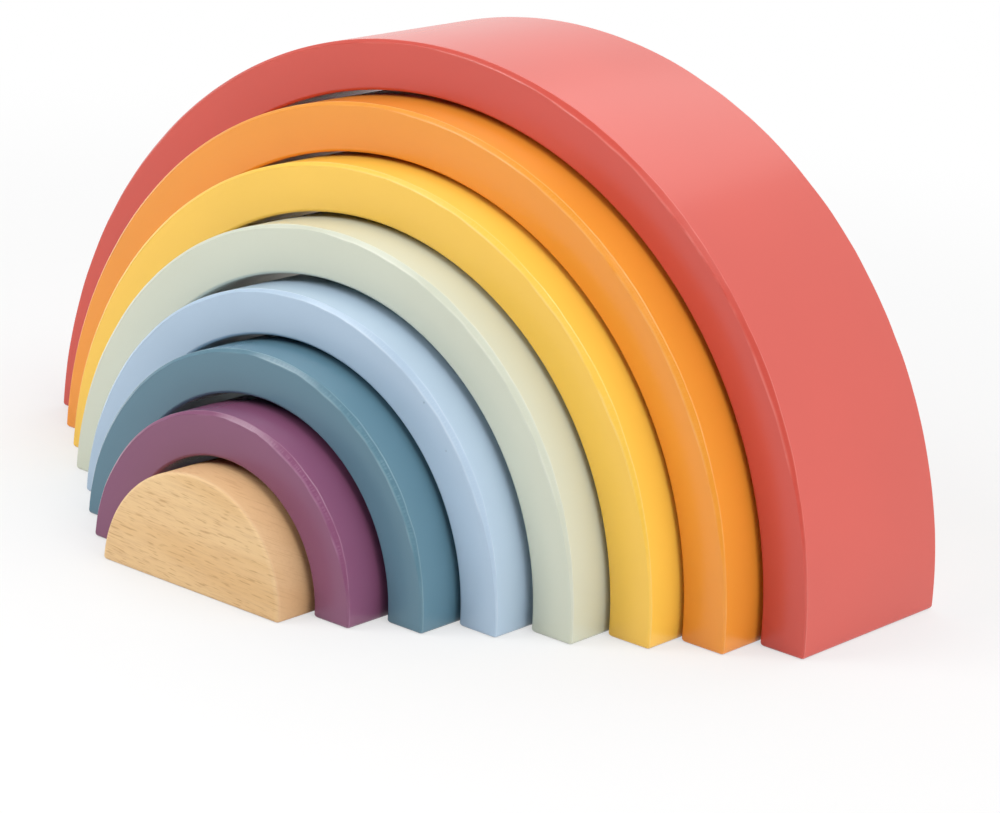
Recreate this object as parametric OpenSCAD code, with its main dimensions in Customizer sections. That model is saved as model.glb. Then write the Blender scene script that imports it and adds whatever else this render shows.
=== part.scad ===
// Rainbow stacker: seven painted wooden arches around a solid beech half-round.
// The pieces are loose and stand on their feet, each drawn out a step in front of the one around it.
// Millimetres, +Z up, fronts towards -Y, origin on the floor under the middle of the set.

/* [Overall] */
// Depth of every piece, front face to back face
depth = 64; // [40:1:100]
// Radius of the solid half-round in the middle
beech_radius = 32.6; // [20:0.1:50]

/* [Bands] */
// Thickness of the purple arch, inner face to outer face
purple_band = 12.5; // [9:0.1:18]
// Thickness of the teal arch
teal_band = 12.4; // [9:0.1:18]
// Thickness of the light blue arch
light_blue_band = 12.8; // [9:0.1:18]
// Thickness of the green arch
green_band = 13.8; // [9:0.1:18]
// Thickness of the yellow arch
yellow_band = 14; // [9:0.1:18]
// Thickness of the orange arch
orange_band = 14.1; // [9:0.1:18]
// Thickness of the red arch
red_band = 14.5; // [9:0.1:18]

/* [Gaps] */
// Clearance between the half-round and the purple arch
purple_gap = 2.3; // [0.8:0.1:5]
// Clearance between the purple and teal arches
teal_gap = 2.6; // [0.8:0.1:5]
// Clearance between the teal and light blue arches
light_blue_gap = 1.6; // [0.8:0.1:5]
// Clearance between the light blue and green arches
green_gap = 2.4; // [0.8:0.1:5]
// Clearance between the green and yellow arches
yellow_gap = 1.5; // [0.8:0.1:5]
// Clearance between the yellow and orange arches
orange_gap = 1.3; // [0.8:0.1:5]
// Clearance between the orange and red arches
red_gap = 1.6; // [0.8:0.1:5]

/* [Steps] */
// How far the orange arch stands in front of the red one
orange_step = 14.5; // [0:0.5:30]
// How far the yellow arch stands in front of the orange one
yellow_step = 12.5; // [0:0.5:30]
// How far the green arch stands in front of the yellow one
green_step = 14; // [0:0.5:30]
// How far the light blue arch stands in front of the green one
light_blue_step = 12; // [0:0.5:30]
// How far the teal arch stands in front of the light blue one
teal_step = 13.5; // [0:0.5:30]
// How far the purple arch stands in front of the teal one
purple_step = 12.5; // [0:0.5:30]
// How far the half-round stands in front of the purple arch
beech_step = 11.5; // [0:0.5:30]

/* [Edges] */
// Rounding of the outer curved edges, front and back
outer_round = 1.3; // [0.5:0.1:3.5]
// Rounding of the inner curved edges, front and back
inner_round = 2; // [0.5:0.1:5]
// Bevel on the edges under the feet
foot_bevel = 1; // [0.4:0.1:2.5]

/* [Hidden] */

// Smoothness of the preview
$fn = 160;
// Sweep of an arch from foot to foot
half_turn = 180;
// Turn that stands a flat section upright
quarter_turn = 90;
// Slope of a bevel
bevel_angle = 45;
// How far a cutter runs past the wood at each end
cut_over = 2;

// Inner and outer radius of each arch, from the half-round outwards
purple_inner = beech_radius + purple_gap;
purple_outer = purple_inner + purple_band;
teal_inner = purple_outer + teal_gap;
teal_outer = teal_inner + teal_band;
light_blue_inner = teal_outer + light_blue_gap;
light_blue_outer = light_blue_inner + light_blue_band;
green_inner = light_blue_outer + green_gap;
green_outer = green_inner + green_band;
yellow_inner = green_outer + yellow_gap;
yellow_outer = yellow_inner + yellow_band;
orange_inner = yellow_outer + orange_gap;
orange_outer = orange_inner + orange_band;
red_inner = orange_outer + red_gap;
red_outer = red_inner + red_band;

// Front face of each piece, from the red arch forwards
step_total = orange_step + yellow_step + green_step + light_blue_step + teal_step + purple_step + beech_step;
red_front = (step_total - depth) / 2;
orange_front = red_front - orange_step;
yellow_front = orange_front - yellow_step;
green_front = yellow_front - green_step;
light_blue_front = green_front - light_blue_step;
teal_front = light_blue_front - teal_step;
purple_front = teal_front - purple_step;
beech_front = purple_front - beech_step;

// Section through an arch: radius along x, depth along y, with its four corners rounded
module arch_section(inner, outer) {
  translate([inner + inner_round, 0])
    square([outer - outer_round - inner - inner_round, depth]);
  translate([inner, inner_round])
    square([inner_round, depth - 2 * inner_round]);
  translate([outer - outer_round, outer_round])
    square([outer_round, depth - 2 * outer_round]);
  for (at_y = [inner_round, depth - inner_round])
    translate([inner + inner_round, at_y])
      circle(r = inner_round);
  for (at_y = [outer_round, depth - outer_round])
    translate([outer - outer_round, at_y])
      circle(r = outer_round);
}

// Section through the half-round, from its axis to its curved face
module half_round_section(outer) {
  square([outer - outer_round, depth]);
  translate([outer - outer_round, outer_round])
    square([outer_round, depth - 2 * outer_round]);
  for (at_y = [outer_round, depth - outer_round])
    translate([outer - outer_round, at_y])
      circle(r = outer_round);
}

// Turns a section half way round, standing on the floor with its front face at y = front
module stand_up(front) {
  translate([0, front + depth, 0])
    rotate([quarter_turn, 0, 0])
      rotate_extrude(angle = half_turn)
        children();
}

// Square bar that bevels a floor edge running along Y at the given x
module bevel_along_y(at_x, front) {
  side = foot_bevel * sqrt(2);
  translate([at_x, front + depth / 2, 0])
    rotate([0, bevel_angle, 0])
      cube([side, depth + 2 * cut_over, side], center = true);
}

// Square bar that bevels a floor edge running along X between two places
module bevel_along_x(from_x, to_x, at_y) {
  side = foot_bevel * sqrt(2);
  translate([(from_x + to_x) / 2, at_y, 0])
    rotate([bevel_angle, 0, 0])
      cube([to_x - from_x + 2 * cut_over, side, side], center = true);
}

// One arch with bevelled feet
module arch(inner, outer, front) {
  difference() {
    stand_up(front)
      arch_section(inner, outer);
    for (at_x = [-outer, -inner, inner, outer])
      bevel_along_y(at_x, front);
    for (at_y = [front, front + depth])
      bevel_along_x(-outer, outer, at_y);
  }
}

// The solid half-round with a bevelled base
module half_round(outer, front) {
  difference() {
    stand_up(front)
      half_round_section(outer);
    for (at_x = [-outer, outer])
      bevel_along_y(at_x, front);
    for (at_y = [front, front + depth])
      bevel_along_x(-outer, outer, at_y);
  }
}

module red_arch() {
  color("#C85048")
    arch(red_inner, red_outer, red_front);
}

module orange_arch() {
  color("#EB8F38")
    arch(orange_inner, orange_outer, orange_front);
}

module yellow_arch() {
  color("#F4C25A")
    arch(yellow_inner, yellow_outer, yellow_front);
}

module green_arch() {
  color("#D6D8C8")
    arch(green_inner, green_outer, green_front);
}

module light_blue_arch() {
  color("#B5C7D7")
    arch(light_blue_inner, light_blue_outer, light_blue_front);
}

module teal_arch() {
  color("#708C98")
    arch(teal_inner, teal_outer, teal_front);
}

module purple_arch() {
  color("#86587A")
    arch(purple_inner, purple_outer, purple_front);
}

module beech_half_round() {
  color("#E5BE8D")
    half_round(beech_radius, beech_front);
}

red_arch();
orange_arch();
yellow_arch();
green_arch();
light_blue_arch();
teal_arch();
purple_arch();
beech_half_round();
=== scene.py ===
import math

import bmesh
import bpy
from mathutils import Matrix, Vector


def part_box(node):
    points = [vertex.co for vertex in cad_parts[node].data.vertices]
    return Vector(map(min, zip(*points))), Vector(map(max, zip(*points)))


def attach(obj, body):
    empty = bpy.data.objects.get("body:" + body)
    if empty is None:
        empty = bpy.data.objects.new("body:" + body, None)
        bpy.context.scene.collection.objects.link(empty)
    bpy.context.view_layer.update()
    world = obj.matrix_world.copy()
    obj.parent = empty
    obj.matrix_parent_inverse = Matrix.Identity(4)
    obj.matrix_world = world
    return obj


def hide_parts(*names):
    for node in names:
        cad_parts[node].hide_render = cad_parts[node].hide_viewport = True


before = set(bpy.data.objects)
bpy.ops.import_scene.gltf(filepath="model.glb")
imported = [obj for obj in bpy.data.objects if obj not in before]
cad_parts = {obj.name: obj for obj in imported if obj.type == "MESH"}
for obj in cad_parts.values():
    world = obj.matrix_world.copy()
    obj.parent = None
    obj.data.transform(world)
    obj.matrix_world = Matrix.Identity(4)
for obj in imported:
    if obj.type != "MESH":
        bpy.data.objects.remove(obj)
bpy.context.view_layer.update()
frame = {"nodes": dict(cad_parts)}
print("frame loaded:", ", ".join(frame["nodes"]))

mm = 0.001
scene = bpy.context.scene


def srgb(red, green, blue):
    # 0 to 255 as seen on screen, to the linear values that shaders take
    def linear(value):
        value /= 255
        return value / 12.92 if value <= 0.04045 else ((value + 0.055) / 1.055) ** 2.4
    return (linear(red), linear(green), linear(blue), 1.0)


# Camera, matched to the arches' edges in a picture 1000 pixels wide

cameraSetup = {
    "place": (0.6450, -0.7841, 0.3493),
    "yaw": 37.60,          # degrees, turned left from looking along +Y
    "pitch": 16.91,        # degrees, looking down
    "roll": 4.88,          # degrees
    "focalPixels": 3748,   # focal length in picture pixels
    "pictureWidth": 1000,
    "sensor": 36.0,
    "clipEnd": 20,         # metres
}


def makeCamera(setup):
    data = bpy.data.cameras.new("photoCamera")
    data.sensor_fit = "HORIZONTAL"
    data.sensor_width = setup["sensor"]
    data.lens = setup["focalPixels"] * setup["sensor"] / setup["pictureWidth"]
    data.clip_end = setup["clipEnd"]
    camera = bpy.data.objects.new("photoCamera", data)
    scene.collection.objects.link(camera)
    turn = Matrix.Rotation(math.radians(setup["yaw"]), 4, "Z")
    tilt = Matrix.Rotation(math.radians(90 - setup["pitch"]), 4, "X")
    roll = Matrix.Rotation(math.radians(setup["roll"]), 4, "Z")
    camera.matrix_world = Matrix.Translation(setup["place"]) @ turn @ tilt @ roll
    scene.camera = camera


makeCamera(cameraSetup)
print("camera placed")


# Small helpers for node trees

def addNode(tree, kind, **values):
    # plain names set the node's own properties, names in inputs set its sockets
    node = tree.nodes.new(kind)
    sockets = values.pop("inputs", {})
    for name, value in values.items():
        setattr(node, name, value)
    for name, value in sockets.items():
        node.inputs[name].default_value = value
    return node


def mathNode(tree, operation, first, second=None, third=None):
    node = tree.nodes.new("ShaderNodeMath")
    node.operation = operation
    for socket, value in zip(node.inputs, (first, second, third)):
        if value is None:
            continue
        if isinstance(value, (int, float)):
            socket.default_value = value
        else:
            tree.links.new(value, socket)
    return node.outputs[0]


def smoothBand(tree, value, low, high):
    # 0 below low, 1 above high, eased between
    node = addNode(tree, "ShaderNodeMapRange", interpolation_type="SMOOTHSTEP", clamp=True)
    node.inputs["From Min"].default_value = low
    node.inputs["From Max"].default_value = high
    tree.links.new(value, node.inputs["Value"])
    return node.outputs["Result"]


def mixColor(tree, factor, first, second):
    node = addNode(tree, "ShaderNodeMix", data_type="RGBA")
    sockets = (node.inputs[0], node.inputs[6], node.inputs[7])   # the ones that the colour mode uses
    for socket, value in zip(sockets, (factor, first, second)):
        if isinstance(value, (int, float, tuple)):
            socket.default_value = value
        else:
            tree.links.new(value, socket)
    return node.outputs[2]


def noiseNode(tree, vector, scale=1.0, detail=2.0, roughness=0.5):
    noise = addNode(tree, "ShaderNodeTexNoise")
    noise.inputs["Scale"].default_value = scale
    noise.inputs["Detail"].default_value = detail
    noise.inputs["Roughness"].default_value = roughness
    tree.links.new(vector, noise.inputs["Vector"])
    return noise.outputs[0]


# Floor, backdrop and light

stageSetup = {
    "floorHalf": 6.0,
    "floorColor": srgb(246, 246, 246),
    "seenColor": srgb(225, 225, 225),   # as the camera sees it, so that its shadows don't clip
    "floorFill": 0.58,       # share of plain white that the camera sees in the floor
    "fadeFrom": 0.16,        # further out the floor turns to plain white
    "fadeTo": 0.60,
    "backLight": 1.15,       # light from the white backdrop behind the object
    "roomLight": 0.0,        # light from the room in front of it
    "backdropBand": (-0.5, 0.5),   # along Y, where the room turns into the backdrop
    "lampAim": (0, 0, 0.05),
    "lamps": {               # name: place, power in watts, width
        "keyLamp": ((0.55, -0.18, 1.05), 6.0, 0.9),
        "frontLamp": ((-0.40, -0.55, 0.65), 4.7, 0.6),
        "rightLamp": ((1.1, -0.15, 0.55), 1.7, 0.6),
        "backLamp": ((-0.2, 0.9, 1.0), 1.1, 0.8),
    },
}


def makeFloor(setup):
    half = setup["floorHalf"]
    mesh = bpy.data.meshes.new("floor")
    corners = [(-half, -half, 0), (half, -half, 0), (half, half, 0), (-half, half, 0)]
    mesh.from_pydata(corners, [], [(0, 1, 2, 3)])
    floor = bpy.data.objects.new("floor", mesh)
    scene.collection.objects.link(floor)
    material = bpy.data.materials.new("paleFloor")
    material.use_nodes = True
    tree = material.node_tree
    tree.nodes.clear()
    path = addNode(tree, "ShaderNodeLightPath")
    seen = mathNode(tree, "MAXIMUM", path.outputs["Is Camera Ray"], path.outputs["Is Glossy Ray"])
    seen = mathNode(tree, "MAXIMUM", seen, path.outputs["Is Transmission Ray"])
    plain = addNode(tree, "ShaderNodeBsdfDiffuse")
    tree.links.new(mixColor(tree, seen, setup["floorColor"], setup["seenColor"]), plain.inputs["Color"])
    glow = addNode(tree, "ShaderNodeEmission", inputs={"Color": (1, 1, 1, 1), "Strength": 1.0})
    mix = addNode(tree, "ShaderNodeMixShader")
    where = addNode(tree, "ShaderNodeTexCoord")
    reach = addNode(tree, "ShaderNodeVectorMath", operation="LENGTH")
    tree.links.new(where.outputs["Object"], reach.inputs[0])
    away = smoothBand(tree, reach.outputs["Value"], setup["fadeFrom"], setup["fadeTo"])
    share = mathNode(tree, "MULTIPLY_ADD", away, 1.0 - setup["floorFill"], setup["floorFill"])
    tree.links.new(mathNode(tree, "MULTIPLY", seen, share), mix.inputs[0])
    tree.links.new(plain.outputs[0], mix.inputs[1])
    tree.links.new(glow.outputs[0], mix.inputs[2])
    out = addNode(tree, "ShaderNodeOutputMaterial")
    tree.links.new(mix.outputs[0], out.inputs["Surface"])
    mesh.materials.append(material)


def makeWorld(setup):
    world = bpy.data.worlds.new("studio")
    scene.world = world
    world.use_nodes = True
    tree = world.node_tree
    tree.nodes.clear()
    # bright backdrop behind, dimmer room in front
    where = addNode(tree, "ShaderNodeTexCoord")
    axis = addNode(tree, "ShaderNodeSeparateXYZ")
    tree.links.new(where.outputs["Generated"], axis.inputs[0])
    behind = smoothBand(tree, axis.outputs["Y"], *setup["backdropBand"])
    room = setup["roomLight"]
    light = mathNode(tree, "MULTIPLY_ADD", behind, setup["backLight"] - room, room)
    mirrored = mathNode(tree, "MULTIPLY_ADD", behind, 1.0 - room, room)
    path = addNode(tree, "ShaderNodeLightPath")
    reflected = mathNode(tree, "MAXIMUM", path.outputs["Is Glossy Ray"], path.outputs["Is Transmission Ray"])
    light = mixColor(tree, reflected, light, mirrored)
    light = mixColor(tree, path.outputs["Is Camera Ray"], light, (1.0, 1.0, 1.0, 1.0))
    back = addNode(tree, "ShaderNodeBackground", inputs={"Strength": 1.0})
    tree.links.new(light, back.inputs["Color"])
    out = addNode(tree, "ShaderNodeOutputWorld")
    tree.links.new(back.outputs[0], out.inputs["Surface"])


def makeLamp(name, place, power, width, target):
    data = bpy.data.lights.new(name, "AREA")
    data.shape = "DISK"
    data.energy = power
    data.size = width
    lamp = bpy.data.objects.new(name, data)
    scene.collection.objects.link(lamp)
    aim = Vector(target) - Vector(place)
    lamp.matrix_world = Matrix.Translation(place) @ aim.to_track_quat("-Z", "Y").to_matrix().to_4x4()


makeFloor(stageSetup)
makeWorld(stageSetup)
for name, (place, power, width) in stageSetup["lamps"].items():
    makeLamp(name, place, power, width, stageSetup["lampAim"])
scene.view_settings.view_transform = "Standard"
print("stage and light ready")


# Beech figure of the bare half-round

figureSetup = {   # sizes: along the grain, into the wood, across the grain
    "raySize": (4.4 * mm, 14 * mm, 0.40 * mm),
    "rayBand": (0.56, 0.74),       # noise values between which a ray comes up
    "fibreSize": (9 * mm, 1.1 * mm, 0.5 * mm),
    "cloudSize": (70 * mm, 30 * mm, 9 * mm),
}


def stretched(tree, vector, size):
    # coordinates in which a pattern of size 1 gets this size along each axis
    scale = addNode(tree, "ShaderNodeMapping", inputs={"Scale": [1 / length for length in size]})
    tree.links.new(vector, scale.inputs["Vector"])
    return scale.outputs[0]


def buildBeechGroup(setup):
    tree = bpy.data.node_groups.new("beechFigure", "ShaderNodeTree")
    face = tree.interface
    face.new_socket("Vector", in_out="INPUT", socket_type="NodeSocketVector")
    face.new_socket("Flecks", in_out="OUTPUT", socket_type="NodeSocketFloat")
    face.new_socket("Fibres", in_out="OUTPUT", socket_type="NodeSocketFloat")
    face.new_socket("Clouds", in_out="OUTPUT", socket_type="NodeSocketFloat")
    start = addNode(tree, "NodeGroupInput")
    end = addNode(tree, "NodeGroupOutput")

    vector = start.outputs["Vector"]

    # rays: short along the grain, thin across it, deep into the wood
    rays = noiseNode(tree, stretched(tree, vector, setup["raySize"]), detail=1.0, roughness=0.4)
    tree.links.new(smoothBand(tree, rays, *setup["rayBand"]), end.inputs["Flecks"])

    # fine fibres along the grain
    fibres = noiseNode(tree, stretched(tree, vector, setup["fibreSize"]), detail=3.0, roughness=0.6)
    tree.links.new(fibres, end.inputs["Fibres"])

    # slow changes of tone, in bands along the grain
    clouds = noiseNode(tree, stretched(tree, vector, setup["cloudSize"]))
    tree.links.new(clouds, end.inputs["Clouds"])
    return tree


beechGroup = buildBeechGroup(figureSetup)


def woodVector(tree, turn):
    # object coordinates with the grain turned to its direction in the piece
    where = addNode(tree, "ShaderNodeTexCoord")
    grain = addNode(tree, "ShaderNodeMapping", vector_type="POINT")
    grain.inputs["Rotation"].default_value = [math.radians(angle) for angle in turn]
    tree.links.new(where.outputs["Object"], grain.inputs["Vector"])
    return grain.outputs[0]


# Masks for the painted highlight lines along the worked outer edges: one where the cut meets the face, one
# where it meets the side

edgeSetup = {
    "cornerBand": (1.0, 0.3),      # distance from the edge, in widths of the cut: from none to full
    "strokeWidth": 0.5 * mm,       # along the edge
    "strokeLength": 3 * mm,        # across it
    "wanderScale": 170.0,
    "wanderReach": 0.25 * mm,
    "faceLineExtra": 0.9,          # how much wider the line on the face is
}


def buildEdgeGroup(setup):
    tree = bpy.data.node_groups.new("edgeLines", "ShaderNodeTree")
    face = tree.interface
    for name in ("Outer Radius", "Front Y", "Back Y", "Cut", "Line Width"):
        face.new_socket(name, in_out="INPUT", socket_type="NodeSocketFloat")
    face.new_socket("Face Line", in_out="OUTPUT", socket_type="NodeSocketFloat")
    face.new_socket("Side Line", in_out="OUTPUT", socket_type="NodeSocketFloat")
    face.new_socket("Corner", in_out="OUTPUT", socket_type="NodeSocketFloat")
    face.new_socket("Strokes", in_out="OUTPUT", socket_type="NodeSocketFloat")
    start = addNode(tree, "NodeGroupInput")
    end = addNode(tree, "NodeGroupOutput")
    size = start.outputs
    where = addNode(tree, "ShaderNodeTexCoord")
    place = addNode(tree, "ShaderNodeSeparateXYZ")
    tree.links.new(where.outputs["Object"], place.inputs[0])
    across = mathNode(tree, "MULTIPLY", place.outputs["X"], place.outputs["X"])
    squares = mathNode(tree, "MULTIPLY_ADD", place.outputs["Z"], place.outputs["Z"], across)
    radius = mathNode(tree, "SQRT", squares)
    fromRim = mathNode(tree, "SUBTRACT", size["Outer Radius"], radius)
    fromFront = mathNode(tree, "SUBTRACT", place.outputs["Y"], size["Front Y"])
    fromBack = mathNode(tree, "SUBTRACT", size["Back Y"], place.outputs["Y"])
    fromFace = mathNode(tree, "MINIMUM", fromFront, fromBack)
    away = mathNode(tree, "MAXIMUM", fromRim, fromFace)
    corner = smoothBand(tree, mathNode(tree, "DIVIDE", away, size["Cut"]), *setup["cornerBand"])
    tree.links.new(corner, end.inputs["Corner"])

    # sanding strokes across the cut, which the paint film lightens, partly as wear and partly as painted
    # highlight
    turn = mathNode(tree, "ARCTAN2", place.outputs["Z"], place.outputs["X"])
    along = mathNode(tree, "MULTIPLY", turn, size["Outer Radius"])
    spot = addNode(tree, "ShaderNodeCombineXYZ")
    tree.links.new(mathNode(tree, "DIVIDE", along, setup["strokeWidth"]), spot.inputs["X"])
    tree.links.new(mathNode(tree, "DIVIDE", place.outputs["Y"], setup["strokeLength"]), spot.inputs["Y"])
    tree.links.new(noiseNode(tree, spot.outputs[0]), end.inputs["Strokes"])

    # the painted highlight lines wander a little, as sanded edges do
    wander = noiseNode(tree, where.outputs["Object"], setup["wanderScale"])
    shift = mathNode(tree, "SUBTRACT", wander, 0.5)
    cut = mathNode(tree, "MULTIPLY_ADD", shift, setup["wanderReach"], size["Cut"])
    miss = mathNode(tree, "ABSOLUTE", mathNode(tree, "SUBTRACT", away, cut))
    onFace = mathNode(tree, "GREATER_THAN", fromRim, fromFace)
    wider = mathNode(tree, "MULTIPLY_ADD", onFace, setup["faceLineExtra"], 1.0)
    width = mathNode(tree, "MULTIPLY", size["Line Width"], wider)
    line = smoothBand(tree, mathNode(tree, "DIVIDE", miss, width), 1.0, 0.0)
    faceLine = mathNode(tree, "MULTIPLY", line, onFace)
    tree.links.new(faceLine, end.inputs["Face Line"])
    tree.links.new(mathNode(tree, "SUBTRACT", line, faceLine), end.inputs["Side Line"])
    return tree


edgeGroup = buildEdgeGroup(edgeSetup)


# Paint film: slight unevenness, painted highlights along the edges and a few specks

filmSetup = {
    "cloudScale": 22.0,
    "cloudBand": (0.15, 0.85),
    "cloudDark": 0.06,             # how much darker the thick paint is
    "breakScale": 60.0,            # breaks in the light lines
    "breakBand": (0.28, 0.55),
    "strokeBand": (0.40, 0.66),
    "faceLine": 0.36,              # strength of the painted highlight marks
    "sideLine": 0.26,
    "strokes": 0.32,
    "speckScale": 75.0,
    "speckBand": (0.036, 0.018),   # distance from a speck's middle, from none to full
    "speckChoice": (0.78, 0.82),   # only spots with a draw above this become specks
    "speckTint": 0.45,
    "roughness": (0.20, 0.265),    # kept low: a wider range shows as dark patches after denoising
    "peelScale": 420.0,
    "peelHeight": 0.006,           # heights in millimetres
    "beadHeight": 0.04,
    "speckHeight": -0.05,
}


def buildPaintGroup(setup):
    tree = bpy.data.node_groups.new("paintFilm", "ShaderNodeTree")
    face = tree.interface
    for name, kind in (("Paint", "NodeSocketColor"), ("Edge Highlight", "NodeSocketColor"),
                       ("Speck", "NodeSocketColor"), ("Vector", "NodeSocketVector"),
                       ("Face Line", "NodeSocketFloat"), ("Side Line", "NodeSocketFloat"),
                       ("Corner", "NodeSocketFloat"), ("Strokes", "NodeSocketFloat"),
                       ("Upper", "NodeSocketFloat"), ("Wear And Highlight", "NodeSocketFloat")):
        face.new_socket(name, in_out="INPUT", socket_type=kind)
    face.new_socket("Color", in_out="OUTPUT", socket_type="NodeSocketColor")
    face.new_socket("Roughness", in_out="OUTPUT", socket_type="NodeSocketFloat")
    face.new_socket("Height", in_out="OUTPUT", socket_type="NodeSocketFloat")
    start = addNode(tree, "NodeGroupInput")
    end = addNode(tree, "NodeGroupOutput")
    vector = start.outputs["Vector"]

    # clouds of thicker and thinner paint
    clouds = noiseNode(tree, vector, setup["cloudScale"], detail=1.0, roughness=0.4)
    tone = smoothBand(tree, clouds, *setup["cloudBand"])
    darker = mixColor(tree, setup["cloudDark"], start.outputs["Paint"], (0.0, 0.0, 0.0, 1.0))
    color = mixColor(tree, tone, darker, start.outputs["Paint"])

    # painted highlights on the worked edges: a line on the face, a thinner one on the side, and strokes
    # across the cut that are partly wear and partly painted highlight
    breaks = noiseNode(tree, vector, setup["breakScale"], detail=3.0, roughness=0.6)
    kept = smoothBand(tree, breaks, *setup["breakBand"])
    clear = mathNode(tree, "MULTIPLY", start.outputs["Face Line"], kept)
    clear = mathNode(tree, "MULTIPLY", clear, start.outputs["Upper"])
    thin = mathNode(tree, "MULTIPLY", start.outputs["Side Line"], kept)
    ragged = smoothBand(tree, start.outputs["Strokes"], *setup["strokeBand"])
    ragged = mathNode(tree, "MULTIPLY", kept, ragged)
    # strokes on the cut, lightened partly as wear and partly as painted highlight
    worked = mathNode(tree, "MULTIPLY", start.outputs["Corner"], start.outputs["Wear And Highlight"])
    wornAndHighlight = mathNode(tree, "MULTIPLY", worked, ragged)
    light = mathNode(tree, "MULTIPLY", thin, setup["sideLine"])
    light = mathNode(tree, "MULTIPLY_ADD", clear, setup["faceLine"], light)
    light = mathNode(tree, "MULTIPLY_ADD", wornAndHighlight, setup["strokes"], light)
    color = mixColor(tree, light, color, start.outputs["Edge Highlight"])

    # specks and small nicks, far apart
    dots = addNode(tree, "ShaderNodeTexVoronoi", feature="F1", inputs={"Scale": setup["speckScale"]})
    tree.links.new(vector, dots.inputs["Vector"])
    speck = smoothBand(tree, dots.outputs["Distance"], *setup["speckBand"])
    chosen = addNode(tree, "ShaderNodeSeparateColor")
    tree.links.new(dots.outputs["Color"], chosen.inputs[0])
    speck = mathNode(tree, "MULTIPLY", speck, smoothBand(tree, chosen.outputs[1], *setup["speckChoice"]))
    tint = mathNode(tree, "MULTIPLY", speck, setup["speckTint"])
    color = mixColor(tree, tint, color, start.outputs["Speck"])
    tree.links.new(color, end.inputs["Color"])

    # gloss differs a little from place to place
    smooth, dull = setup["roughness"]
    sheen = addNode(tree, "ShaderNodeMapRange", inputs={"To Min": smooth, "To Max": dull})
    tree.links.new(clouds, sheen.inputs["Value"])
    tree.links.new(sheen.outputs["Result"], end.inputs["Roughness"])

    # height: roller texture, beads of paint along the edges, specks
    peel = noiseNode(tree, vector, setup["peelScale"])
    height = mathNode(tree, "MULTIPLY", peel, setup["peelHeight"])
    beads = mathNode(tree, "MULTIPLY", worked, start.outputs["Strokes"])
    height = mathNode(tree, "MULTIPLY_ADD", beads, setup["beadHeight"], height)
    height = mathNode(tree, "MULTIPLY_ADD", speck, setup["speckHeight"], height)
    tree.links.new(height, end.inputs["Height"])
    return tree


paintGroup = buildPaintGroup(filmSetup)


def paintMaterial(setup):
    material = bpy.data.materials.new(setup["name"] + "Paint")
    material.use_nodes = True
    tree = material.node_tree
    shader = tree.nodes["Principled BSDF"]
    vector = woodVector(tree, setup["grainTurn"])
    film = addNode(tree, "ShaderNodeGroup", node_tree=paintGroup)
    film.inputs["Paint"].default_value = srgb(*setup["paint"])
    film.inputs["Edge Highlight"].default_value = srgb(*setup["edgeHighlight"])
    film.inputs["Speck"].default_value = srgb(*setup["speck"])
    low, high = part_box(setup["node"])
    edge = addNode(tree, "ShaderNodeGroup", node_tree=edgeGroup)
    edge.inputs["Outer Radius"].default_value = setup["outer"]
    edge.inputs["Front Y"].default_value = low.y
    edge.inputs["Back Y"].default_value = high.y
    share = addNode(tree, "ShaderNodeAttribute", attribute_name="cutShare")
    cut = mathNode(tree, "MULTIPLY", share.outputs["Fac"], archShape["outerChamfer"])
    tree.links.new(cut, edge.inputs["Cut"])
    # the painted highlights and the lightened strokes come up only where the cut is wide, on the upper right
    upper = smoothBand(tree, share.outputs["Fac"], *archShape["upperBand"])
    tree.links.new(upper, film.inputs["Upper"])
    tree.links.new(mathNode(tree, "MULTIPLY", upper, setup["wearAndHighlight"]), film.inputs["Wear And Highlight"])
    edge.inputs["Line Width"].default_value = archShape["lineWidth"]
    tree.links.new(vector, film.inputs["Vector"])
    for name in ("Face Line", "Side Line", "Corner", "Strokes"):
        tree.links.new(edge.outputs[name], film.inputs[name])
    tree.links.new(film.outputs["Color"], shader.inputs["Base Color"])
    tree.links.new(film.outputs["Roughness"], shader.inputs["Roughness"])
    bump = addNode(tree, "ShaderNodeBump", inputs={"Strength": 1.0, "Distance": mm})
    tree.links.new(film.outputs["Height"], bump.inputs["Height"])
    tree.links.new(bump.outputs[0], shader.inputs["Normal"])
    return material


# Arch: a bevelled section swept half way round, as a node tree with named sizes

archShape = {
    "stepLength": 2.0 * mm,        # along the arch, between rings of the mesh
    "outerChamfer": 1.4 * mm,
    "outerSoften": 0.5 * mm,
    "innerChamfer": 0.55 * mm,
    "innerSoften": 0.9 * mm,       # more than this and the two roundings of a cut meet in one point
    "softenSteps": 5,
    "footCut": 0.35,               # share of the outer chamfer that is left at the feet
    "leftCut": 0.6,                # and on the left half
    "riseBand": (0.05, 0.60),      # height in outer radii, over which the cut grows from the feet up
    "leanBand": (-0.5, 0.6),       # place in outer radii, over which it grows from left to right
    "upperBand": (0.60, 1.0),      # share of the cut, over which the painted highlight marks come up
    "wobble": 1.0,                 # how uneven that chamfer is along the arch
    "wobbleScale": 7.0,
    "edgeReach": 1.25,             # in outer chamfers, what still counts as a worked edge
    "footRound": 1.1 * mm,
    "footRings": 6,                # rings of the mesh in the rounding of a foot
    "ripple": 0.08 * mm,
    "rippleScale": 150.0,
    "lineWidth": 0.26 * mm,        # half the width of a painted highlight line in the paint
}


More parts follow.
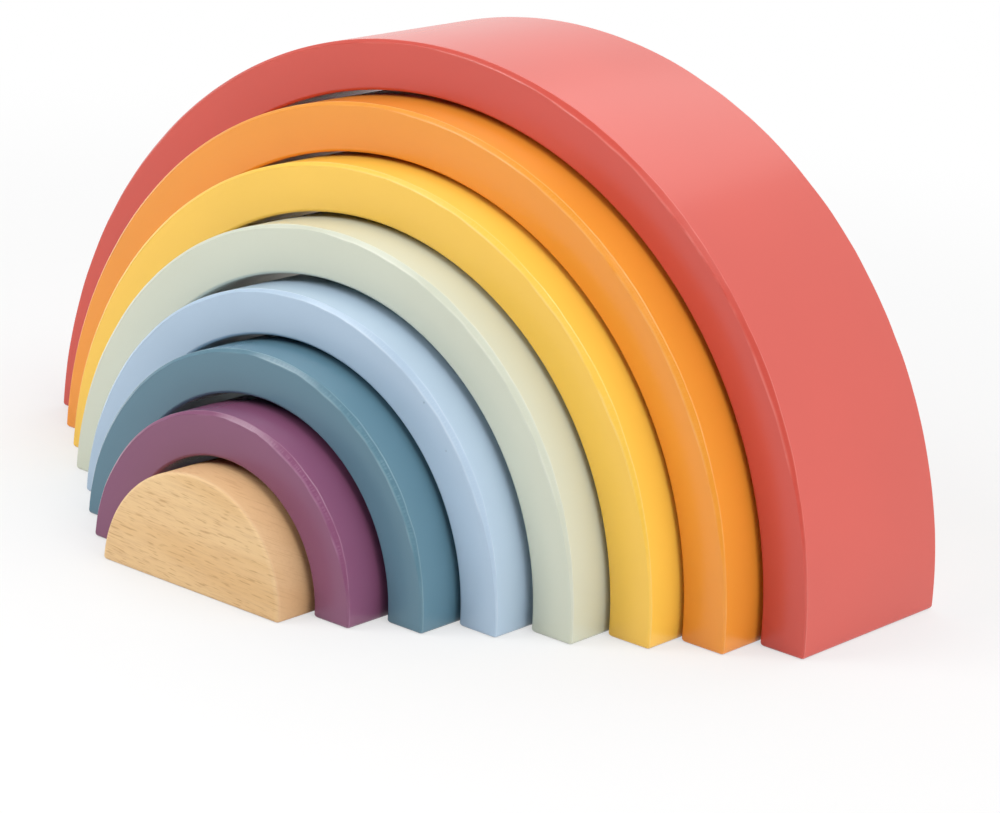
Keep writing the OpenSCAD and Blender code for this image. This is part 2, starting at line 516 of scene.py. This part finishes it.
def buildArchTree(shape):
    tree = bpy.data.node_groups.new("archSweep", "GeometryNodeTree")
    tree.is_modifier = True
    face = tree.interface
    for name in ("Outer Radius", "Band", "Depth", "Middle Y", "Outer Chamfer", "Outer Soften",
                 "Inner Chamfer", "Inner Soften", "Foot Round", "Foot Cut", "Left Cut", "Wobble", "Ripple"):
        face.new_socket(name, in_out="INPUT", socket_type="NodeSocketFloat")
    face.new_socket("Steps", in_out="INPUT", socket_type="NodeSocketInt")
    face.new_socket("Seed", in_out="INPUT", socket_type="NodeSocketFloat")
    face.new_socket("Material", in_out="INPUT", socket_type="NodeSocketMaterial")
    face.new_socket("Mesh", in_out="OUTPUT", socket_type="NodeSocketGeometry")
    start = addNode(tree, "NodeGroupInput")
    end = addNode(tree, "NodeGroupOutput")
    size = start.outputs
    link = tree.links.new

    # path through the middle of the band, with rings close together where the feet are rounded
    halfBand = mathNode(tree, "MULTIPLY", size["Band"], 0.5)
    halfDepth = mathNode(tree, "MULTIPLY", size["Depth"], 0.5)
    middle = mathNode(tree, "SUBTRACT", size["Outer Radius"], halfBand)
    arc = addNode(tree, "GeometryNodeCurveArc", mode="RADIUS")
    arc.inputs["Start Angle"].default_value = 0.0
    arc.inputs["Sweep Angle"].default_value = math.pi
    link(middle, arc.inputs["Radius"])
    link(size["Steps"], arc.inputs["Resolution"])
    footRings = shape["footRings"]
    order = addNode(tree, "GeometryNodeInputIndex").outputs[0]
    last = mathNode(tree, "SUBTRACT", size["Steps"], 1.0)
    fromEnd = mathNode(tree, "MINIMUM", order, mathNode(tree, "SUBTRACT", last, order))
    footShare = mathNode(tree, "MINIMUM", mathNode(tree, "DIVIDE", fromEnd, footRings), 1.0)
    footTurn = mathNode(tree, "MULTIPLY", footShare, math.pi / 2)
    footRise = mathNode(tree, "SUBTRACT", 1.0, mathNode(tree, "COSINE", footTurn))
    roundShare = mathNode(tree, "DIVIDE", size["Foot Round"], middle)
    endAngle = mathNode(tree, "ARCSINE", mathNode(tree, "MULTIPLY", footRise, roundShare))
    plainSweep = mathNode(tree, "MULTIPLY_ADD", mathNode(tree, "ARCSINE", roundShare), -2.0, math.pi)
    plainRings = mathNode(tree, "SUBTRACT", last, 2.0 * footRings)
    ringsPassed = mathNode(tree, "MAXIMUM", mathNode(tree, "SUBTRACT", fromEnd, footRings), 0.0)
    passed = mathNode(tree, "DIVIDE", ringsPassed, plainRings)
    angle = mathNode(tree, "MULTIPLY_ADD", passed, plainSweep, endAngle)
    isLeft = mathNode(tree, "GREATER_THAN", order, mathNode(tree, "MULTIPLY", last, 0.5))
    sideX = mathNode(tree, "MULTIPLY_ADD", isLeft, -2.0, 1.0)
    sideRadius = mathNode(tree, "MULTIPLY", middle, sideX)
    ringX = mathNode(tree, "MULTIPLY", sideRadius, mathNode(tree, "COSINE", angle))
    ring = addNode(tree, "ShaderNodeCombineXYZ")
    link(ringX, ring.inputs["X"])
    link(mathNode(tree, "MULTIPLY", middle, mathNode(tree, "SINE", angle)), ring.inputs["Y"])
    spaced = addNode(tree, "GeometryNodeSetPosition")
    link(arc.outputs[0], spaced.inputs["Geometry"])
    link(ring.outputs[0], spaced.inputs["Position"])
    path = addNode(tree, "GeometryNodeCaptureAttribute", domain="POINT")
    path.capture_items.new("FLOAT", "Inset")
    link(spaced.outputs[0], path.inputs["Geometry"])
    footIn = mathNode(tree, "SUBTRACT", 1.0, mathNode(tree, "SINE", footTurn))
    link(mathNode(tree, "MULTIPLY", footIn, size["Foot Round"]), path.inputs["Inset"])

    # section: corners cut off, then the cuts softened, more on the inner side
    section = addNode(tree, "GeometryNodeCurvePrimitiveQuadrilateral", mode="RECTANGLE")
    link(size["Band"], section.inputs["Width"])
    link(size["Depth"], section.inputs["Height"])
    place = addNode(tree, "GeometryNodeInputPosition")
    across = addNode(tree, "ShaderNodeSeparateXYZ")
    link(place.outputs[0], across.inputs[0])
    isOuter = mathNode(tree, "GREATER_THAN", across.outputs["X"], 0.0)

    def outerOrInner(outer, inner):
        node = addNode(tree, "ShaderNodeMix", data_type="FLOAT")
        link(isOuter, node.inputs[0])
        link(inner, node.inputs[2])
        link(outer, node.inputs[3])
        return node.outputs[0]

    cut = addNode(tree, "GeometryNodeFilletCurve", mode="POLY", inputs={"Count": 1})
    link(section.outputs[0], cut.inputs["Curve"])
    link(outerOrInner(size["Outer Chamfer"], size["Inner Chamfer"]), cut.inputs["Radius"])
    soften = addNode(tree, "GeometryNodeFilletCurve", mode="POLY", inputs={"Limit Radius": True})
    soften.inputs["Count"].default_value = shape["softenSteps"]
    link(cut.outputs[0], soften.inputs["Curve"])
    link(outerOrInner(size["Outer Soften"], size["Inner Soften"]), soften.inputs["Radius"])

    # mark the worked outer edges
    reach = mathNode(tree, "MULTIPLY", size["Outer Chamfer"], shape["edgeReach"])
    nearRim = mathNode(tree, "GREATER_THAN", across.outputs["X"], mathNode(tree, "SUBTRACT", halfBand, reach))
    outY = mathNode(tree, "ABSOLUTE", across.outputs["Y"])
    nearFace = mathNode(tree, "GREATER_THAN", outY, mathNode(tree, "SUBTRACT", halfDepth, reach))
    mark = addNode(tree, "GeometryNodeCaptureAttribute", domain="POINT")
    mark.capture_items.new("FLOAT", "Edge")
    link(soften.outputs[0], mark.inputs["Geometry"])
    link(mathNode(tree, "MULTIPLY", nearRim, nearFace), mark.inputs["Edge"])

    sweep = addNode(tree, "GeometryNodeCurveToMesh", inputs={"Fill Caps": True})
    link(path.outputs[0], sweep.inputs["Curve"])
    link(mark.outputs[0], sweep.inputs["Profile Curve"])

    # the cut is narrow at the feet and on the left, full on the upper right, and uneven along its length
    at = addNode(tree, "GeometryNodeInputPosition")
    part = addNode(tree, "ShaderNodeSeparateXYZ")
    link(at.outputs[0], part.inputs[0])
    flat = addNode(tree, "ShaderNodeVectorMath", operation="MULTIPLY")
    link(at.outputs[0], flat.inputs[0])
    flat.inputs[1].default_value = (1, 1, 0)
    radius = addNode(tree, "ShaderNodeVectorMath", operation="LENGTH")
    link(flat.outputs[0], radius.inputs[0])
    outward = addNode(tree, "ShaderNodeVectorMath", operation="NORMALIZE")
    link(flat.outputs[0], outward.inputs[0])
    sideSign = mathNode(tree, "SIGN", part.outputs["Z"])
    along = addNode(tree, "ShaderNodeVectorMath", operation="ADD")
    ahead = addNode(tree, "ShaderNodeCombineXYZ")
    link(sideSign, ahead.inputs["Z"])
    link(outward.outputs[0], along.inputs[0])
    link(ahead.outputs[0], along.inputs[1])
    uneven = addNode(tree, "ShaderNodeTexNoise", noise_dimensions="4D", inputs={"Detail": 2.0})
    uneven.inputs["Scale"].default_value = shape["wobbleScale"]
    link(along.outputs[0], uneven.inputs["Vector"])
    link(size["Seed"], uneven.inputs["W"])
    height = mathNode(tree, "DIVIDE", part.outputs["Y"], size["Outer Radius"])
    rise = smoothBand(tree, height, *shape["riseBand"])
    rightward = mathNode(tree, "DIVIDE", part.outputs["X"], size["Outer Radius"])
    lean = smoothBand(tree, rightward, *shape["leanBand"])
    toRight = mathNode(tree, "SUBTRACT", 1.0, size["Left Cut"])
    full = mathNode(tree, "MULTIPLY_ADD", lean, toRight, size["Left Cut"])
    spread = mathNode(tree, "SUBTRACT", full, size["Foot Cut"])
    base = mathNode(tree, "MULTIPLY_ADD", rise, spread, size["Foot Cut"])
    drift = mathNode(tree, "MULTIPLY", mathNode(tree, "SUBTRACT", uneven.outputs[0], 0.5), size["Wobble"])
    share = mathNode(tree, "MULTIPLY_ADD", drift, base, base)
    kept = addNode(tree, "GeometryNodeStoreNamedAttribute", data_type="FLOAT", domain="POINT",
                   inputs={"Name": "cutShare"})
    link(sweep.outputs[0], kept.inputs["Geometry"])
    link(share, kept.inputs["Value"])
    back = mathNode(tree, "MULTIPLY", mathNode(tree, "SUBTRACT", 1.0, share), mark.outputs["Edge"])
    fromRim = mathNode(tree, "SUBTRACT", size["Outer Radius"], radius.outputs["Value"])
    toRim = mathNode(tree, "MULTIPLY", fromRim, back)
    depthLeft = mathNode(tree, "SUBTRACT", halfDepth, mathNode(tree, "ABSOLUTE", part.outputs["Z"]))
    toFace = mathNode(tree, "MULTIPLY", mathNode(tree, "MULTIPLY", depthLeft, sideSign), back)

    # the foot draws in towards the floor, in a quarter round
    inset = mathNode(tree, "MULTIPLY", path.outputs["Inset"], -1.0)
    offMiddle = mathNode(tree, "SUBTRACT", radius.outputs["Value"], middle)
    offMiddle = mathNode(tree, "DIVIDE", offMiddle, halfBand)
    offDepth = mathNode(tree, "DIVIDE", part.outputs["Z"], halfDepth)
    toRim = mathNode(tree, "MULTIPLY_ADD", offMiddle, inset, toRim)
    toFace = mathNode(tree, "MULTIPLY_ADD", offDepth, inset, toFace)
    rimPush = addNode(tree, "ShaderNodeVectorMath", operation="SCALE")
    link(outward.outputs[0], rimPush.inputs[0])
    link(toRim, rimPush.inputs["Scale"])
    facePush = addNode(tree, "ShaderNodeCombineXYZ")
    link(toFace, facePush.inputs["Z"])
    narrow = addNode(tree, "ShaderNodeVectorMath", operation="ADD")
    link(rimPush.outputs[0], narrow.inputs[0])
    link(facePush.outputs[0], narrow.inputs[1])
    narrowed = addNode(tree, "GeometryNodeSetPosition")
    link(kept.outputs[0], narrowed.inputs["Geometry"])
    link(narrow.outputs[0], narrowed.inputs["Offset"])

    # hand-sanded ripple along those edges
    normal = addNode(tree, "GeometryNodeInputNormal")
    noise = addNode(tree, "ShaderNodeTexNoise", noise_dimensions="4D", inputs={"Detail": 1.0})
    noise.inputs["Scale"].default_value = shape["rippleScale"]
    link(size["Seed"], noise.inputs["W"])
    wave = mathNode(tree, "SUBTRACT", noise.outputs[0], 0.5)
    wave = mathNode(tree, "MULTIPLY", wave, mathNode(tree, "MULTIPLY", mark.outputs["Edge"], rise))
    wave = mathNode(tree, "MULTIPLY", wave, size["Ripple"])
    push = addNode(tree, "ShaderNodeVectorMath", operation="SCALE")
    link(normal.outputs[0], push.inputs[0])
    link(wave, push.inputs["Scale"])
    rippled = addNode(tree, "GeometryNodeSetPosition")
    link(narrowed.outputs[0], rippled.inputs["Geometry"])
    link(push.outputs[0], rippled.inputs["Offset"])

    # stand it up on its feet
    shift = addNode(tree, "ShaderNodeCombineXYZ")
    link(size["Middle Y"], shift.inputs["Y"])
    stand = addNode(tree, "GeometryNodeTransform", inputs={"Rotation": (math.pi / 2, 0, 0)})
    link(rippled.outputs[0], stand.inputs["Geometry"])
    link(shift.outputs[0], stand.inputs["Translation"])
    whole = addNode(tree, "GeometryNodeRealizeInstances")
    link(stand.outputs[0], whole.inputs[0])
    finish = addNode(tree, "GeometryNodeSetMaterial")
    link(whole.outputs[0], finish.inputs["Geometry"])
    link(size["Material"], finish.inputs["Material"])
    link(finish.outputs[0], end.inputs["Mesh"])
    return tree


archTree = buildArchTree(archShape)


def plainMesh(worker, name):
    # what the modifiers make, as a mesh of its own
    bpy.context.view_layer.update()
    result = worker.evaluated_get(bpy.context.evaluated_depsgraph_get())
    mesh = bpy.data.meshes.new_from_object(result)
    mesh.name = name
    bpy.data.objects.remove(worker)
    piece = bpy.data.objects.new(name, mesh)
    scene.collection.objects.link(piece)
    return piece


evenWeight = 100    # large flat faces keep their own direction in the shading


def finishPiece(worker, name, setup):
    even = worker.modifiers.new("even", "WEIGHTED_NORMAL")
    even.weight = evenWeight
    piece = plainMesh(worker, name)
    for polygon in piece.data.polygons:
        polygon.use_smooth = True
    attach(piece, setup["node"])
    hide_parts(setup["node"])


def makeArch(setup):
    low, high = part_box(setup["node"])
    outer = setup["outer"]
    worker = bpy.data.objects.new("worker", bpy.data.meshes.new("worker"))
    scene.collection.objects.link(worker)
    sweep = worker.modifiers.new("sweep", "NODES")
    sweep.node_group = archTree
    values = {
        "Outer Radius": outer,
        "Band": setup["band"],
        "Depth": high.y - low.y,
        "Middle Y": (low.y + high.y) / 2,
        "Outer Chamfer": archShape["outerChamfer"],
        "Outer Soften": archShape["outerSoften"],
        "Inner Chamfer": archShape["innerChamfer"],
        "Inner Soften": archShape["innerSoften"],
        "Foot Round": archShape["footRound"],
        "Foot Cut": archShape["footCut"],
        "Left Cut": archShape["leftCut"],
        "Wobble": archShape["wobble"],
        "Ripple": archShape["ripple"],
        "Steps": round(math.pi * outer / archShape["stepLength"]),
        "Seed": setup["seed"],
        "Material": paintMaterial(setup),
    }
    for item in archTree.interface.items_tree:
        if item.in_out == "INPUT":
            sweep[item.identifier] = values[item.name]
    finishPiece(worker, setup["name"] + "Arch", setup)


# Per arch: a paler colour for the painted highlights along the edges, and a share for the lighter strokes on
# the cut, partly wear and partly painted highlight
arches = [
    {"name": "red", "node": "red_arch", "slot": "red_paint", "outer": 140.0 * mm, "band": 14.5 * mm,
     "paint": (211, 85, 73), "edgeHighlight": (246, 158, 148), "speck": (150, 44, 38),
     "grainTurn": (4, 8, 0), "seed": 1.0, "wearAndHighlight": 0.1},
    {"name": "orange", "node": "orange_arch", "slot": "orange_paint", "outer": 123.9 * mm, "band": 14.1 * mm,
     "paint": (243, 157, 56), "edgeHighlight": (252, 196, 128), "speck": (176, 92, 28),
     "grainTurn": (-6, 4, 3), "seed": 2.0, "wearAndHighlight": 0.5},
    {"name": "yellow", "node": "yellow_arch", "slot": "yellow_paint", "outer": 108.5 * mm, "band": 14.0 * mm,
     "paint": (254, 205, 84), "edgeHighlight": (254, 226, 160), "speck": (186, 130, 44),
     "grainTurn": (5, -6, 2), "seed": 3.0, "wearAndHighlight": 0.4},
    {"name": "green", "node": "green_arch", "slot": "green_paint", "outer": 93.0 * mm, "band": 13.8 * mm,
     "paint": (214, 218, 199), "edgeHighlight": (236, 238, 224), "speck": (150, 146, 120),
     "grainTurn": (-3, 6, -4), "seed": 4.0, "wearAndHighlight": 0.5},
    {"name": "lightBlue", "node": "light_blue_arch", "slot": "light_blue_paint", "outer": 76.8 * mm,
     "band": 12.8 * mm, "paint": (183, 205, 226), "edgeHighlight": (220, 232, 244), "speck": (116, 136, 158),
     "grainTurn": (6, 5, 4), "seed": 5.0, "wearAndHighlight": 0.8},
    {"name": "teal", "node": "teal_arch", "slot": "teal_paint", "outer": 62.4 * mm, "band": 12.4 * mm,
     "paint": (96, 133, 150), "edgeHighlight": (160, 190, 198), "speck": (58, 82, 96),
     "grainTurn": (-5, 7, -2), "seed": 6.0, "wearAndHighlight": 0.8},
    {"name": "purple", "node": "purple_arch", "slot": "purple_paint", "outer": 47.4 * mm, "band": 12.5 * mm,
     "paint": (137, 83, 115), "edgeHighlight": (192, 150, 178), "speck": (84, 44, 68),
     "grainTurn": (3, -5, 5), "seed": 7.0, "wearAndHighlight": 0.9},
]

for setup in arches:
    makeArch(setup)
print("arches made:", len(arches))


# Half-round of bare beech

beechSetup = {
    "name": "beechHalfRound",
    "node": "beech_half_round",
    "slot": "bare_beech",
    "radius": 32.6 * mm,
    "arcSteps": 96,
    "edgeRound": 1.0 * mm,       # kept under one step of the arc, which is where the bevel stops
    "edgeSteps": 6,
    "edgeAngle": 45,             # degrees, edges sharper than this are rounded
    "wood": (231, 190, 134),
    "pale": (239, 203, 150),
    "fleck": (188, 138, 88),
    "rosy": (208, 165, 122),
    # paler colour of the painted highlight on the rounded edge
    "edge": (250, 222, 180),
    "edgeReach": 1.5 * mm,       # how far the painted highlight on the rounded edge reaches
    "grainTurn": (24, -3, 0),    # degrees: the rays lean on the curved side, the grain slopes on the face
    "cloudBand": (0.35, 0.65),
    "fibreBand": (0.42, 0.72),
    "fibreTint": 0.38,           # how strongly each of these colours the wood
    "rayTint": 0.55,
    "curvedTint": 0.62,
    "edgeHighlightTint": 0.15,
    "curvedBand": (0.9, 0.3),    # from a face that looks along Y to the curved side
    "roughBase": 0.46,
    "roughFibre": 0.14,
    "fibreHeight": 0.02,         # millimetres
    "rayHeight": -0.012,
}


def beechMaterial(setup):
    material = bpy.data.materials.new("bareBeech")
    material.use_nodes = True
    tree = material.node_tree
    shader = tree.nodes["Principled BSDF"]
    vector = woodVector(tree, setup["grainTurn"])
    figure = addNode(tree, "ShaderNodeGroup", node_tree=beechGroup)
    tree.links.new(vector, figure.inputs["Vector"])
    tone = smoothBand(tree, figure.outputs["Clouds"], *setup["cloudBand"])
    color = mixColor(tree, tone, srgb(*setup["wood"]), srgb(*setup["pale"]))
    threads = smoothBand(tree, figure.outputs["Fibres"], *setup["fibreBand"])
    threads = mathNode(tree, "MULTIPLY", threads, setup["fibreTint"])
    color = mixColor(tree, threads, color, srgb(*setup["rosy"]))
    rays = mathNode(tree, "MULTIPLY", figure.outputs["Flecks"], setup["rayTint"])
    color = mixColor(tree, rays, color, srgb(*setup["fleck"]))

    # the curved side cuts across the fibres, so it is darker and warmer than the face
    normal = addNode(tree, "ShaderNodeNewGeometry")
    axis = addNode(tree, "ShaderNodeSeparateXYZ")
    tree.links.new(normal.outputs["Normal"], axis.inputs[0])
    curved = smoothBand(tree, mathNode(tree, "ABSOLUTE", axis.outputs["Y"]), *setup["curvedBand"])
    curved = mathNode(tree, "MULTIPLY", curved, setup["curvedTint"])
    color = mixColor(tree, curved, color, srgb(*setup["rosy"]))

    # the rounded edge between them gets a paler band, a painted highlight
    low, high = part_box(setup["node"])
    edge = addNode(tree, "ShaderNodeGroup", node_tree=edgeGroup)
    edge.inputs["Outer Radius"].default_value = setup["radius"]
    edge.inputs["Front Y"].default_value = low.y
    edge.inputs["Back Y"].default_value = high.y
    edge.inputs["Cut"].default_value = setup["edgeReach"]
    paleHighlight = mathNode(tree, "MULTIPLY", edge.outputs["Corner"], setup["edgeHighlightTint"])
    color = mixColor(tree, paleHighlight, color, srgb(*setup["edge"]))
    tree.links.new(color, shader.inputs["Base Color"])

    rough = mathNode(tree, "MULTIPLY_ADD", figure.outputs["Fibres"], setup["roughFibre"], setup["roughBase"])
    tree.links.new(rough, shader.inputs["Roughness"])
    height = mathNode(tree, "MULTIPLY", figure.outputs["Fibres"], setup["fibreHeight"])
    height = mathNode(tree, "MULTIPLY_ADD", figure.outputs["Flecks"], setup["rayHeight"], height)
    bump = addNode(tree, "ShaderNodeBump", inputs={"Strength": 1.0, "Distance": mm})
    tree.links.new(height, bump.inputs["Height"])
    tree.links.new(bump.outputs[0], shader.inputs["Normal"])
    return material


def makeHalfRound(setup):
    low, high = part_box(setup["node"])
    radius = setup["radius"]
    steps = setup["arcSteps"]
    build = bmesh.new()
    outline = []
    for step in range(steps + 1):
        angle = math.pi * step / steps
        outline.append(build.verts.new((radius * math.cos(angle), low.y, radius * math.sin(angle))))
    front = build.faces.new(outline)
    grown = bmesh.ops.extrude_face_region(build, geom=[front])
    moved = [item for item in grown["geom"] if isinstance(item, bmesh.types.BMVert)]
    bmesh.ops.translate(build, verts=moved, vec=(0, high.y - low.y, 0))
    bmesh.ops.recalc_face_normals(build, faces=build.faces)
    mesh = bpy.data.meshes.new("worker")
    build.to_mesh(mesh)
    build.free()
    mesh.materials.append(beechMaterial(setup))
    worker = bpy.data.objects.new("worker", mesh)
    scene.collection.objects.link(worker)
    edge = worker.modifiers.new("edges", "BEVEL")
    edge.limit_method = "ANGLE"
    edge.angle_limit = math.radians(setup["edgeAngle"])
    edge.width = setup["edgeRound"]
    edge.segments = setup["edgeSteps"]
    finishPiece(worker, setup["name"], setup)


makeHalfRound(beechSetup)
print("half-round made")


# Bring the scene up to date

bpy.context.view_layer.update()
